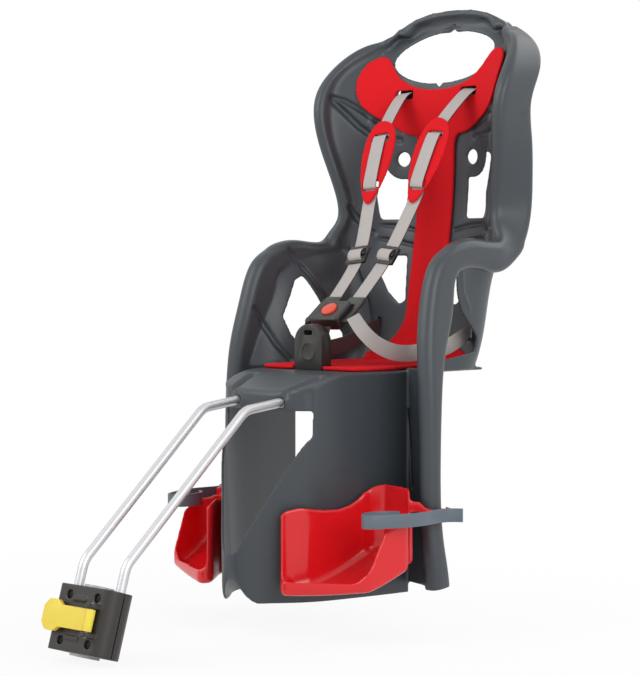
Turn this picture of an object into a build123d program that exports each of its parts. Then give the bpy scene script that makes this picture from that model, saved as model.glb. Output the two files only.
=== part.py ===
from build123d import *
from math import cos, pi, radians, sin
import os

os.makedirs("parts", exist_ok=True)

# Overall layout.  The origin is the middle of the seat-tube clamp.
# +X is the child's left, the seat faces -Y, +Z is up.
rod_reach = 279.0        # clamp middle to the seat's front lip, rearward
rod_rise = 245.0         # clamp middle to the rods' entry, upward
tube_lean = 17.0         # lean of the bicycle's seat tube, degrees
wall = 4.0               # moulded wall of the shell
fit = 0.35               # clearance between pieces that are set together
slide_fit = 0.06         # running clearance of the button and the lever's pin

# Backrest of the shell, heights above the rods' entry.
pan_top = 36.0           # seat surface
back_foot = 320.0        # front face of the back, 100 above the rods' entry
back_lean = 0.075        # lean of the back
head_bend = 400.0        # height where the headrest starts to lean further
head_lean = 0.19         # extra lean of the headrest
shell_top = 522.0        # top of the handle bar
foot_half = 98.0         # half-width of the back at the seat
waist_z = 232.0
waist_half = 135.0       # half-width of the rim at the waist
waist_depth = 22.0       # depth of the side wings at the waist
waist_band = 56.0        # width of the rail at the waist
head_z = 388.0
head_half = 159.0        # half-width of the rim at the head
head_depth = 58.0        # depth of the side wings at the head
head_band = 68.0         # width of the rail beside the head
rail = 19.0              # thickness of the rail beside the head
bar = 30.0               # height of the handle bar
bar_deep = 22.0          # rim along the top edge, front to rear
back_belly = 13.0        # hollow of the back
window_z = 456.0         # head window
window_half = 86.0

# Armrests and posts.
arm_z = 184.0            # middle height of the armrests
arm_half = 156.0         # half-spacing of the armrests
arm_rear = 284.0
arm_front = 212.0
arm_tall = 39.0
arm_thick = 27.0
post_y = 127.0
post_half = 173.0
post_thick = 25.0
post_wide = 26.0
post_foot = -254.0

# Skirt under the seat.
nose_y = -56.5           # front of the skirt
nose_round = 28.0
skirt_half = 76.0        # half-width where the skirt meets the lip
skirt_rear_half = 103.0
skirt_rear = 169.0
skirt_foot = -250.0
lip_drop = 11.0          # lower edge of the seat's front lip

# Carrier rod and clamp.
rod_r = 6.0
rod_half = 37.0          # half-spacing of the rod's legs
rod_bend = 30.0
rod_slope = 0.111        # rise of the legs under the seat
rod_end = 118.0          # closed end of the rod behind the lip
tube_r = 16.0
liner = 2.0
clamp_wide = 92.0
clamp_deep = 44.0
clamp_tall = 78.0
clamp_gap = 1.5
bolt_x = 24.0
bolt_z = 27.0
bolt_r = 2.5
bolt_head = 4.4
bolt_sink = 6.0
bulge = 19.0             # rounded right-hand corners of the bracket
rod_low = 34.0           # rod's ends below the clamp's middle
rod_kink = 70.0          # rod's first bend above the clamp's middle
plate_y = 24.0
plate_thick = 3.0
boss_x = 54.0
pin_x = 27.0             # lever's hinge
pin_depth = 29.5
pin_r = 2.0
knuckle_r = 5.5
ear_z = 17.0
ear_thick = 6.0
lever_half = 13.0
lever_head = 18.5
lever_thick = 6.0
bar_rise = 2.0           # raised bars on the bracket's front

# Harness and soft pieces.
strap_wide = 22.0
strap_thick = 1.6
slot_z = 406.0           # shoulder slots
slot_x = 57.0
pad_thick = 5.0
buckle_wide = 52.0
buckle_long = 40.0
buckle_thick = 18.0
button_r = 11.0

pad_gap = 0.6            # foam to shell
slot_y = 112.0           # crotch slot
lap_x = 82.0             # lap slots
lap_z = 84.0
guide_half = 24.0
guide_front = 88.0
guide_deep = 18.0
guide_top = 95.0
pad_half = 31.0          # half-width of the pad up the spine
leaf_half = 63.0         # shoulder pads, half length and half width
leaf_wide = 27.0
weave = 36.0             # slots of the shoulder pads from their middle
lock_long = 20.0
stop_thick = 3.0
tongue_thick = 4.0
tie = 2.2                # strap ends off the tongues
button_sink = 8.0
button_travel = 3.0

# Footrests.
tray_wall = 3.5
tray_foot = -232.0
tray_round = 10.0        # rounding of the tray's corners and bottom
strap_z = -139.0
foot_strap_tall = 17.0
foot_strap_thick = 2.6
clip_x = 194.5
clip_z = -129.0
clip_tall = 16.0
shoe_x = post_half + post_thick / 2 + 1.5
strap_off = 3.4          # foot strap off the clip


def at(x, y, z):
    return (x, y + rod_reach, z + rod_rise)


def plan(z):
    return Plane(origin=at(0, 0, z))


def front(y):
    return Plane(origin=at(0, y, 0), x_dir=(1, 0, 0), z_dir=(0, -1, 0))


def side(x):
    return Plane(origin=at(x, 0, 0), x_dir=(0, 1, 0), z_dir=(1, 0, 0))


def ease(t):
    t = min(max(t, 0.0), 1.0)
    return t * t * (3 - 2 * t)


def belly(z):
    t = min(max((z - 60) / 420, 0.0), 1.0)
    return back_belly * sin(pi * t) ** 2


def back_y(z):
    cove = 16 * ease((72 - z) / 40)
    return back_foot + back_lean * (z - 100) + head_lean * max(0.0, z - head_bend) - cove + belly(z)


def rim_half(z):
    up = (head_half - waist_half) * ease((z - waist_z) / (head_z - waist_z))
    down = (waist_half - foot_half) * ease((waist_z - z) / 122)
    return waist_half + up - down


def rim_depth(z):
    up = (head_depth - waist_depth) * ease((z - waist_z) / (head_z - waist_z))
    top = 0.8 * head_depth * ease((z - head_z) / (shell_top - head_z))
    down = (waist_depth - 3) * ease((waist_z - z) / 122)
    return waist_depth + up - top - down + belly(z)


def bucket_points(z, inset=0.0):
    """Section of the backrest at a height, rim to rim; inset moves it toward the child."""
    y = back_y(z)
    d = rim_depth(z)
    x = rim_half(z)
    half = [(0.45 * x, y - 0.03 * d - inset), (0.74 * x - 0.5 * inset, y - 0.38 * d - 0.9 * inset),
            (x - 0.7 * inset, y - d - 0.7 * inset)]
    return [(-px, py) for px, py in reversed(half)] + [(0, y - inset)] + half


def ribbon(points, across, wide, thick):
    """A strip of webbing through the given places; across gives the way of its width."""
    with BuildPart() as strip:
        for i, point in enumerate(points):
            a = Vector(*points[max(i - 1, 0)])
            b = Vector(*points[min(i + 1, len(points) - 1)])
            lie = across[i] if isinstance(across, list) else across
            with BuildSketch(Plane(origin=point, x_dir=lie, z_dir=b - a)):
                Rectangle(wide, thick)
        loft(ruled=True)
    return strip.part


def keep(part, name):
    part.label = name
    export_step(part, "parts/" + name + ".step")


# Back and side wings as one curved sheet, trimmed to the headrest's outline.
with BuildPart() as bucket:
    for z in (pan_top - wall + 1.5, 62, 120, 180, waist_z, 305, head_z, 440, shell_top + 8):
        with BuildSketch(plan(z)):
            with BuildLine():
                Spline(*bucket_points(z, -wall / 2))
            trace(line_width=wall)
    loft()
    with BuildSketch(front(0)):
        with BuildLine():
            Polyline((0, 0), (175, 0), (175, 425))
            Spline((175, 425), (138, 465), (84, 501), (0, shell_top - 4), tangents=((-0.3, 1), (-1, 0)))
            Line((0, shell_top - 4), (0, 0))
        make_face()
        mirror(about=Plane.YZ)
    extrude(amount=600, both=True, mode=Mode.INTERSECT)
    # Head window with its two notches.
    with BuildSketch(front(250)):
        with Locations((0, window_z)):
            Ellipse(window_half, shell_top - bar - window_z)
        with Locations((0, shell_top - bar), (0, 2 * window_z - shell_top + bar)):
            Rectangle(8, 8, rotation=45)
    extrude(amount=-200, mode=Mode.SUBTRACT)
    for s in (1, -1):
        # Upper opening beside the spine, with the rounded tab round the small hole.
        with BuildSketch(front(250)) as upper:
            with BuildLine():
                Polyline((s * 54, 234), (s * 54, 296), (s * 75, 322), (s * 112, 322), (s * 107, 276), (s * 91, 234), close=True)
            make_face()
            fillet(upper.vertices(), 5)
            with Locations((s * 62, 317)):
                Circle(28, mode=Mode.SUBTRACT)
        extrude(amount=-200, mode=Mode.SUBTRACT)
        with BuildSketch(front(250)):
            with Locations((s * 61, 317)):
                Circle(9.5)
        extrude(amount=-200, mode=Mode.SUBTRACT)
        # Lower opening, shoulder slot and lap slot.
        with BuildSketch(front(250)) as lower:
            with BuildLine():
                Polyline((s * 45, 183), (s * 71, 183), (s * 88, 164), (s * 70, 134), (s * 50, 117), (s * 40, 122), close=True)
            make_face()
            fillet(lower.vertices(), 4)
        extrude(amount=-200, mode=Mode.SUBTRACT)
        with BuildSketch(front(250)):
            with Locations((s * slot_x, slot_z)):
                RectangleRounded(strap_wide + 8, 12, 3)
            with Locations((s * lap_x, lap_z)):
                RectangleRounded(6, strap_wide + 6, 2.5)
        extrude(amount=-200, mode=Mode.SUBTRACT)

# Top bar: a flange along the sheet's upper edge.
with BuildPart() as top_bar:
    lean = Plane(origin=at(0, back_y(480) + wall / 2, 480), x_dir=(1, 0, 0), z_dir=(0, -1, back_lean + head_lean))
    with BuildSketch(lean):
        for drop in (0, 8):
            top = shell_top - 479 - drop
            with BuildLine():
                Spline((124, top - 46), (84, top - 17), (0, top), tangents=((-1, 0.9), (-1, 0)))
                Polyline((0, top), (0, -90), (124, -90), (124, top - 46))
            make_face(mode=Mode.SUBTRACT if drop else Mode.ADD)
        mirror(about=Plane.YZ)
    extrude(amount=-bar_deep)

# Side rail: from the shoulder past the head, round the waist, along the armrest, down the post.
# Each station is its middle, the way the rail runs, the way its width lies, width and thickness.
stations = [
    ((98, back_y(492) + 7, shell_top - 29), (0.86, 0, -0.51), (0, 1, 0.25), 15, 6.5),
    ((122, back_y(478) + 1, shell_top - 45), (0.77, -0.08, -0.64), (0, 1, 0.17), 34, 13),
    ((144, back_y(462) - 9, shell_top - 62), (0.6, -0.15, -0.8), (0, 1, 0.1), 48, 17),
]
for z in (426, head_z, 335, 285, waist_z + 10):
    turn = ease((z - waist_z) / (head_z - waist_z))
    depth = waist_band + (head_band - waist_band) * turn
    yaw = 0.5 * (1 - turn)
    middle = 0.5 * (depth - rail)
    x = rim_half(z) + 1 + middle * sin(yaw)
    y = back_y(z) - rim_depth(z) + middle * cos(yaw)
    stations.append(((x, y, z), (0, 0, -1), (sin(yaw), cos(yaw), 0), depth, rail))
stations += [
    ((150, 309, 203), (0.05, -0.6, -0.8), (0.32, 0.76, -0.56), 48, 22),
    ((arm_half - 1, arm_rear, arm_z - 1), (0.02, -1, -0.1), (0.1, 0.1, -1), arm_tall + 3, 25),
    ((arm_half, 0.5 * (arm_rear + arm_front), arm_z), (0, -1, 0), (0.05, 0, -1), arm_tall, arm_thick),
    ((arm_half + 1, arm_front, arm_z + 1), (0, -1, -0.05), (0.03, 0.05, -1), arm_tall, arm_thick),
    ((arm_half + 2, 172, 168), (0, -0.75, -0.75), (0, 0.75, -0.75), 41, arm_thick),
    ((160, 154, 120), (0.06, -0.28, -1), (0, 1, -0.28), 50, arm_thick),
    ((166, 137, 63), (0.07, -0.17, -1), (0, 1, -0.17), 40, arm_thick),
    ((post_half - 2, post_y + 2, 0), (0.03, -0.06, -1), (0, 1, -0.06), post_wide + 4, post_thick + 1),
    ((post_half, post_y, -62), (0.015, 0, -1), (0, 1, 0), post_wide, post_thick),
    ((post_half + 1, post_y, -140), (0.02, 0, -1), (0, 1, 0), post_wide, post_thick),
    ((post_half + 4, post_y + 2, -196), (0.04, 0.08, -1), (0, 1, 0.08), post_wide + 2, post_thick),
    ((post_half + 6, post_y + 7, post_foot), (0.03, 0.1, -1), (0, 1, 0.1), post_wide + 7, post_thick),
]
with BuildPart() as side_rail:
    for middle, along, across, wide, thick in stations:
        with BuildSketch(Plane(origin=at(*middle), x_dir=across, z_dir=along)):
            RectangleRounded(wide, thick, 0.44 * min(wide, thick))
    loft()

# Lower side wall with its window, from the post round to the rear corner.
with BuildPart() as side_wall:
    for z, places in ((pan_top - wall + 1.5, ((post_half - 6, 134), (126, 166), (112, 205), (111, 285), (88, 304))),
                      (60, ((166, 139), (130, 172), (116, 215), (115, 292), (92, back_y(60) + 2))),
                      (120, ((160, 155), (138, 188), (124, 235), (121, 300), (95, back_y(120) + 2))),
                      (arm_z + 6, ((157, 182), (150, 225), (146, 265), (140, 305), (98, back_y(190) + 2)))):
        with BuildSketch(plan(z)):
            with BuildLine():
                Spline(*places)
            trace(line_width=wall)
    loft()
    with BuildSketch(side(0)) as window:
        with BuildLine():
            Polyline((222, 156), (248, 112), (284, 76), (284, 58), (212, 46), (188, 77), (182, 100), (209, 149), close=True)
        make_face()
        fillet(window.vertices(), 5)
    extrude(amount=300, mode=Mode.SUBTRACT)

# Leg guard: wall between the skirt's rear edge and the post, with its lower slot.
with BuildPart() as guard:
    with BuildSketch(plan(skirt_foot + 14)):
        with BuildLine():
            Polyline((post_half + 2, post_y + 4), (137, post_y + 29), (skirt_rear_half - 3, skirt_rear))
        trace(line_width=wall)
    extrude(amount=pan_top + 4 - (skirt_foot + 14))
    with BuildSketch(front(120)):
        with Locations((150, -200)):
            RectangleRounded(12, 30, 4)
    extrude(amount=-60, mode=Mode.SUBTRACT)


def seat_line(drop):
    """Height of the seat along its depth, lowered by drop."""
    return [(-8, 6 - drop), (8, 18 - drop), (40, 29 - drop), (90, pan_top - drop)]


# Skirt: a prow-shaped wall with a V-shaped front opening, up to the edge of the seat.
with BuildPart() as skirt:
    for z, taper in ((skirt_foot, 1), (pan_top + 10, -0.18)):
        with BuildSketch(plan(z)):
            with BuildLine():
                Spline((skirt_rear_half - wall / 2, skirt_rear), (skirt_half + 9 - 3 * taper, 70),
                       (skirt_half - 2 - 13 * taper, 10), (54 - 17 * taper, -20), (24 - 6 * taper, nose_y + 10),
                       (0, nose_y + wall / 2), tangents=((-0.13, -1), (-1, 0)))
            trace(line_width=wall)
    loft()
    mirror(about=Plane.YZ)
    with BuildSketch(front(17)) as opening:
        with BuildLine():
            Polyline((0, -207), (71, -50), (81, -32), (81, 80), (-81, 80), (-81, -32), (-71, -50), (0, -207))
        make_face()
        fillet(opening.vertices(), 5)
    extrude(amount=150, mode=Mode.SUBTRACT)
    # Rounded foot of the nose, and the top edge that follows the seat.
    with BuildSketch(side(0)):
        with BuildLine():
            Polyline((nose_y + nose_round, skirt_foot), (nose_y + nose_round, skirt_foot - 5), (nose_y - 9, skirt_foot - 5),
                     (nose_y - 9, skirt_foot + nose_round), (nose_y, skirt_foot + nose_round))
            ThreePointArc((nose_y, skirt_foot + nose_round), (nose_y + 0.293 * nose_round, skirt_foot + 0.293 * nose_round),
                          (nose_y + nose_round, skirt_foot))
        make_face()
    extrude(amount=200, both=True, mode=Mode.SUBTRACT)
    with BuildSketch(side(0)):
        with BuildLine():
            Spline(*seat_line(1.5), tangents=((0.3, 1), (1, 0)))
            Polyline((90, pan_top - 1.5), (300, pan_top - 1.5), (300, 90), (-8, 90), (-8, 4.5))
        make_face()
    extrude(amount=200, both=True, mode=Mode.SUBTRACT)

# Plane of the plate that holds the rod's legs up under the seat.
bed = Plane(origin=at(0, plate_y, plate_y * rod_slope - rod_r - fit), x_dir=(1, 0, 0), z_dir=(0, -rod_slope, 1))

# Front lip of the seat with the holes for the rods and the bosses for the plate's bolts.
with BuildPart() as lip:
    with BuildSketch(plan(-lip_drop)):
        with BuildLine():
            Spline((skirt_half, 23), (65, 7.5), (40, 0), (0, -3), tangents=((-0.45, -0.9), (-1, 0)))
            mirror(about=Plane.YZ)
        trace(line_width=wall)
    extrude(amount=lip_drop + pan_top)
    with BuildSketch(bed.offset(2 * fit)):
        with Locations((boss_x, 0), (-boss_x, 0)):
            Circle(6)
            Circle(bolt_r + fit, mode=Mode.SUBTRACT)
    extrude(amount=40)
    with BuildSketch(side(0)):
        with BuildLine():
            Spline(*seat_line(2), tangents=((0.3, 1), (1, 0)))
            Polyline((90, pan_top - 2), (90, 90), (-8, 90), (-8, 4))
        make_face()
    extrude(amount=200, both=True, mode=Mode.SUBTRACT)
    for s in (1, -1):
        with BuildSketch(Plane(origin=at(s * rod_half, 0, 0), x_dir=(1, 0, 0), z_dir=(0, 1, rod_slope))):
            Circle(rod_r + fit)
        extrude(amount=16, both=True, mode=Mode.SUBTRACT)

# Seat surface with the crotch strap's slot.
with BuildPart() as pan:
    with BuildSketch(side(0)):
        with BuildLine():
            Spline(*seat_line(0), tangents=((0.3, 1), (1, 0)))
            Line((90, pan_top), (back_foot - 12, pan_top))
            Line((back_foot - 12, pan_top), (back_foot - 12, pan_top - wall))
            Line((back_foot - 12, pan_top - wall), (90, pan_top - wall))
            Spline(*reversed(seat_line(wall)), tangents=((-1, 0), (-0.3, -1)))
            Line((-8, 6 - wall), (-8, 6))
        make_face()
    extrude(amount=200, both=True)
    with BuildSketch(plan(0)):
        with BuildLine():
            Polyline((0, 330), (111, 330), (111, 205))
            Spline((111, 205), (skirt_rear_half - 1, skirt_rear), (skirt_half + 9, 70), (skirt_half - 1, 13), (40, 0), (0, -3),
                   tangents=((0, -1), (-1, 0)))
            Line((0, -3), (0, 330))
        make_face()
        mirror(about=Plane.YZ)
    extrude(amount=200, both=True, mode=Mode.INTERSECT)
    with BuildSketch(plan(0)):
        with Locations((0, slot_y)):
            RectangleRounded(strap_wide + 6, 8, 3)
    extrude(amount=80, mode=Mode.SUBTRACT)

# The one-piece moulded shell.
with BuildPart() as seat_shell:
    add(skirt.part)
    add(lip.part)
    add(pan.part)
    add(guard.part)
    add(guard.part.mirror(Plane.YZ))
    add(bucket.part)
    add(top_bar.part)
    add(side_wall.part)
    add(side_wall.part.mirror(Plane.YZ))
    add(side_rail.part)
    add(side_rail.part.mirror(Plane.YZ))
keep(seat_shell.part, "seat_shell")

# Padding: one sheet of foam up the back and over the seat.
with BuildPart() as seat_pad:
    for z in (pan_top + 0.8, 62, 120, 180, waist_z, 305, head_z, 440, 480):
        with BuildSketch(plan(z)):
            with BuildLine():
                Spline(*bucket_points(z, pad_gap + pad_thick / 2))
            trace(line_width=pad_thick)
    loft()
    with BuildSketch(front(0)):
        with BuildLine():
            Spline((0, 411), (42, 417), (76, 438), (100, 462), (118, 455), (126, 425), (112, 388), (80, 366), (48, 350),
                   (pad_half, 315), tangents=((1, 0), (0, -1)))
            Line((pad_half, 315), (pad_half, 115))
            Spline((pad_half, 115), (42, 80), (92, 50), tangents=((0, -1), (1, -0.3)))
            Polyline((92, 50), (92, 20), (0, 20), (0, 411))
        make_face()
        mirror(about=Plane.YZ)
        with Locations((slot_x, slot_z), (-slot_x, slot_z)):
            RectangleRounded(strap_wide + 8, 12, 3, mode=Mode.SUBTRACT)
    extrude(amount=600, both=True, mode=Mode.INTERSECT)
    with BuildSketch(plan(pan_top + fit)) as cushion:
        with BuildLine():
            Polyline((guide_half + 3, 86), (80, 86), (92, 150), (92, 297), (0, 297), (0, slot_y + 7), (guide_half + 3, slot_y + 7),
                     close=True)
        make_face()
        fillet(cushion.vertices().filter_by(lambda corner: corner.X > 40 and corner.Y < 200), 8)
        mirror(about=Plane.YZ)
    extrude(amount=pad_thick)
keep(seat_pad.part, "seat_pad")

# Buckle over the child's lap; its face looks up and forward.
lap = Plane(origin=at(0, 134, 106), x_dir=(1, 0, 0), z_dir=(0, -0.6, 0.8))


def on_lap(x, y, rise=0.0):
    place = lap.from_local_coords((x, y, rise))
    return (place.X, place.Y, place.Z)


with BuildPart() as buckle_body:
    with BuildSketch(lap.offset(-buckle_thick / 2)):
        RectangleRounded(buckle_wide, buckle_long, 8)
    extrude(amount=buckle_thick)
    fillet(buckle_body.faces().sort_by(Axis(lap.origin, lap.z_dir))[-1].edges(), 3)
    with BuildSketch(lap.offset(buckle_thick / 2 - button_sink)):
        Circle(button_r + slide_fit)
    extrude(amount=buckle_thick, mode=Mode.SUBTRACT)
keep(buckle_body.part, "buckle_body")

with BuildPart() as buckle_button:
    with BuildSketch(lap.offset(buckle_thick / 2 - button_sink + button_travel + 1)):
        Circle(button_r)
    extrude(amount=button_sink - button_travel + 1.5)
keep(buckle_button.part, "buckle_button")

tongue_edge = buckle_wide / 2 + 11
tongue_top = buckle_long / 2 + 16
for s, name in ((1, "left"), (-1, "right")):
    with BuildPart() as buckle_tongue:
        with BuildSketch(lap.offset(-tongue_thick / 2)) as plate:
            with BuildLine():
                Polyline((s * 7, buckle_long / 2 + fit), (s * 7, tongue_top), (s * 34, tongue_top), (s * tongue_edge, 22),
                         (s * tongue_edge, -16), (s * (buckle_wide / 2 + fit), -16),
                         (s * (buckle_wide / 2 + fit), buckle_long / 2 + fit), close=True)
            make_face()
            fillet(plate.vertices().filter_by(lambda corner: abs(corner.X) > 30), 2)
        extrude(amount=tongue_thick)
    keep(buckle_tongue.part, "buckle_tongue_" + name)

    # Shoulder pad and the strap that is woven through it.
    pad_top = Vector(*at(s * 50, 295, 368))
    pad_low = Vector(*at(s * 39, 246, 252))
    up = (pad_top - pad_low).normalized()
    rise = Vector(1, 0, 0).cross(up).normalized()
    middle = (pad_top + pad_low) * 0.5
    leaf = Plane(origin=middle, x_dir=up.cross(rise), z_dir=rise)
    with BuildPart() as shoulder_pad:
        with BuildSketch(leaf.offset(-pad_thick / 2)):
            with BuildLine():
                Spline((0, leaf_half), (21, 49), (leaf_wide, 20), (20, -28), (0, -leaf_half), (-20, -28), (-leaf_wide, 20),
                       (-21, 49), periodic=True)
            make_face()
            with Locations((0, weave), (0, -weave)):
                RectangleRounded(strap_wide + 5, 13, 3, mode=Mode.SUBTRACT)
        extrude(amount=pad_thick)
    keep(shoulder_pad.part, "shoulder_pad_" + name)

    lift = rise * (pad_thick / 2 + strap_thick / 2 + fit)
    knot = Vector(*on_lap(s * 21, tongue_top + tie))
    below = middle - up * (leaf_half - 2) - lift
    lock = Vector(*at(s * 26, 213, 183))
    run = (knot - below).normalized()
    path = [Vector(*at(s * slot_x, back_y(slot_z) + 18, slot_z + 4)), Vector(*at(s * slot_x, back_y(slot_z) - 7, slot_z - 3)),
            middle + up * (leaf_half - 4) - lift, middle + up * (weave + 3) - lift, middle + up * (weave - 3) + lift,
            middle - up * (weave - 3) + lift, middle - up * (weave + 3) - lift, below, lock - run * lock_long,
            lock + run * lock_long, knot]
    shoulder_strap = ribbon(path, leaf.x_dir, strap_wide, strap_thick)
    keep(shoulder_strap, "shoulder_strap_" + name)

    # Ladder lock on the lower run of the strap.
    with BuildPart() as strap_adjuster:
        with BuildSketch(Plane(origin=lock - run * (lock_long / 2), x_dir=leaf.x_dir, z_dir=run)):
            RectangleRounded(strap_wide + 10, 10, 2)
            Rectangle(strap_wide + 2 * fit, strap_thick + 2 * fit, mode=Mode.SUBTRACT)
        extrude(amount=lock_long)
    keep(strap_adjuster.part, "strap_adjuster_" + name)

    # Lap strap from the tongue's edge round the hip to its slot low in the back.
    hip = [on_lap(s * (tongue_edge + tie), -2), at(s * 50, 140, 84), at(s * 60, 157, 67), at(s * 72, 180, 57),
           at(s * 82, 208, 57), at(s * 88, 255, 62), at(s * 87, 292, 74),
           at(s * lap_x, back_y(lap_z) - 4, lap_z), at(s * lap_x, back_y(lap_z) + 16, lap_z)]
    lie = [(0, 0.8, 0.6), (0, 0.6, 0.8), (0, 0.35, 1), (0, 0, 1), (0, -0.2, 1), (0, -0.25, 1), (0, -0.15, 1), (0, 0, 1), (0, 0, 1)]
    keep(ribbon(hip, lie, strap_wide, strap_thick), "lap_strap_" + name)

# Stops behind the back that keep the straps from pulling out.
with BuildPart() as strap_stops:
    for s in (1, -1):
        slot_lean = (back_y(slot_z + 12) - back_y(slot_z - 6)) / 18
        high = Plane(origin=at(s * slot_x, back_y(slot_z + 4) + wall + fit + 1.5, slot_z + 2.6), x_dir=(1, 0, 0),
                     z_dir=(0, 1, -slot_lean))
        low = Plane(origin=at(s * lap_x, back_y(lap_z) + wall + fit - 0.6, lap_z), x_dir=(1, 0, 0), z_dir=(0, 1, -back_lean))
        for seat, wide, tall, slit, gap in ((high, strap_wide + 12, 18, strap_wide + 2, 9), (low, 13, strap_wide + 12, 4, strap_wide + 2)):
            with BuildSketch(seat):
                RectangleRounded(wide, tall, 2)
                Rectangle(slit, gap, mode=Mode.SUBTRACT)
            extrude(amount=stop_thick)
keep(strap_stops.part, "strap_stops")

# Crotch strap, its slider, and the guide block in front of it.
crotch = [at(0, slot_y, pan_top - 14), at(0, slot_y, 50), at(0, slot_y + 1.5, 74), on_lap(0, -buckle_long / 2 - fit, -3)]
keep(ribbon([Vector(*place) for place in crotch], (1, 0, 0), strap_wide, strap_thick), "crotch_strap")

with BuildPart() as crotch_slider:
    with BuildSketch(plan(53)):
        with Locations((0, slot_y + 0.6)):
            RectangleRounded(strap_wide + 12, 9, 3)
            Rectangle(strap_wide + 1.4, strap_thick + 2.4, mode=Mode.SUBTRACT)
    extrude(amount=12)
keep(crotch_slider.part, "crotch_slider")

with BuildPart() as crotch_guide:
    with BuildSketch(front(guide_front)):
        with BuildLine():
            Polyline((-guide_half, 74), (-guide_half, pan_top + fit), (guide_half, pan_top + fit), (guide_half, 74))
            ThreePointArc((guide_half, 74), (0, guide_top), (-guide_half, 74))
        make_face()
        with Locations((0, 84)):
            RectangleRounded(14, 6, 2, mode=Mode.SUBTRACT)
    extrude(amount=-guide_deep)
    with BuildSketch(front(guide_front)):
        with Locations((0, 60)):
            Circle(13)
            Circle(9.5, mode=Mode.SUBTRACT)
    extrude(amount=0.8)
keep(crotch_guide.part, "crotch_guide")

# Footrests: open trays that ride on the posts, each with a clip and a rubber foot strap.
tray_edge = [(72, -38), (61, -26), (77, 4), (97, 100), (112, 112), (158, 106), (186, 70), (173, 12)]
for s, name in ((1, "left"), (-1, "right")):
    with BuildPart() as hollow:
        with BuildSketch(plan(-260)) as floor_plan:
            with BuildLine():
                Polyline(*[(s * x, y) for x, y in tray_edge], close=True)
            make_face()
            fillet(floor_plan.vertices(), tray_round)
            offset(amount=-tray_wall, mode=Mode.REPLACE)
        extrude(amount=200)
        with BuildSketch(side(0)):
            with BuildLine():
                Spline((-70, tray_foot + tray_wall - 1), (0, tray_foot + tray_wall + 1), (60, tray_foot + tray_wall + 22),
                       (130, tray_foot + tray_wall + 61))
                Polyline((130, tray_foot + tray_wall + 61), (130, -275), (-70, -275), (-70, tray_foot + tray_wall - 1))
            make_face()
        extrude(amount=s * 250, mode=Mode.SUBTRACT)
        fillet(hollow.faces().sort_by(Axis.Z)[0].edges(), 0.4 * tray_round)
    with BuildPart() as scoop:
        with BuildSketch(side(0)):
            with BuildLine():
                Polyline((-60, -217), (6, -215), (18, -193), (36, -155), (60, -143), (97, -138), (97, -80), (-60, -80), close=True)
            make_face()
        extrude(amount=s * 250)
        with BuildSketch(plan(-260)):
            with BuildLine():
                Polyline((s * 67, -60), (s * 67, -25), (s * 81.5, 4), (s * 101, 97), (s * 240, 97), (s * 240, -60), close=True)
            make_face()
        extrude(amount=200, mode=Mode.INTERSECT)
    with BuildPart() as footrest:
        with BuildSketch(plan(-260)) as tray_plan:
            with BuildLine():
                Polyline(*[(s * x, y) for x, y in tray_edge], close=True)
            make_face()
            fillet(tray_plan.vertices(), tray_round)
        extrude(amount=160)
        with BuildSketch(side(0)):
            with BuildLine():
                Spline((-70, tray_foot - 1), (0, tray_foot + 1), (60, tray_foot + 22), (130, tray_foot + 61))
                Polyline((130, tray_foot + 61), (130, -275), (-70, -275), (-70, tray_foot - 1))
            make_face()
        extrude(amount=s * 250, mode=Mode.SUBTRACT)
        fillet(footrest.faces().sort_by(Axis.Z)[0].edges(), 0.6 * tray_round)
        add(hollow.part, mode=Mode.SUBTRACT)
        # Low front and outer side, higher inner and rear sides.
        with BuildSketch(side(s * 58)):
            with BuildLine():
                Spline((-70, -160), (-38, -142), (-24, -132), (20, -131), (70, -127), (104, -106), (130, -103))
                Polyline((130, -103), (130, -80), (-70, -80), (-70, -160))
            make_face()
        extrude(amount=s * 250, both=True, mode=Mode.SUBTRACT)
        add(scoop.part, mode=Mode.SUBTRACT)
        with BuildSketch(plan(clip_z - clip_tall / 2)):
            with BuildLine():
                Spline((s * 162, 100), (s * 176, 106.5), (s * 192, 112), (s * clip_x, 130), (s * 190, 146), (s * 179, 149))
            trace(line_width=tray_wall)
        extrude(amount=clip_tall)
        # Shoe of the clip that runs on the post.
        with BuildSketch(plan(clip_z - clip_tall / 2)):
            with Locations((s * (shoe_x + clip_x) / 2, post_y)):
                Rectangle(clip_x - shoe_x, 9)
        extrude(amount=clip_tall)
    keep(footrest.part, "footrest_" + name)

    outer = clip_x + tray_wall / 2 + strap_off + foot_strap_thick / 2
    with BuildPart() as foot_strap:
        with BuildSketch(plan(strap_z - foot_strap_tall / 2)):
            with BuildLine():
                Spline((s * 177, 64), (s * 158, 46), (s * 157, 22), (s * 171, 6), (s * 190, 30), (s * (outer + 1), 86), (s * outer, 128),
                       (s * (outer + 14), 140))
            trace(line_width=foot_strap_thick)
        extrude(amount=foot_strap_tall)
    keep(foot_strap.part, "foot_strap_" + name)

# Steel rod from the bracket up to the seat and round under it.
lean_y = sin(radians(tube_lean))
lean_z = cos(radians(tube_lean))
leg = [(0.0, -rod_low * lean_y, -rod_low * lean_z), (0.0, rod_kink * lean_y, rod_kink * lean_z), at(0, -63, -63 * rod_slope),
       at(0, rod_end, rod_end * rod_slope)]
spine = [(rod_half, y, z) for x, y, z in leg] + [(-rod_half, y, z) for x, y, z in reversed(leg)]
with BuildPart() as carrier_rod:
    with BuildLine() as rod_path:
        FilletPolyline(*spine, radius=rod_bend)
    with BuildSketch(Plane(origin=spine[0], z_dir=(0, lean_y, lean_z))):
        Circle(rod_r)
    sweep()
keep(carrier_rod.part, "carrier_rod")

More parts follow.
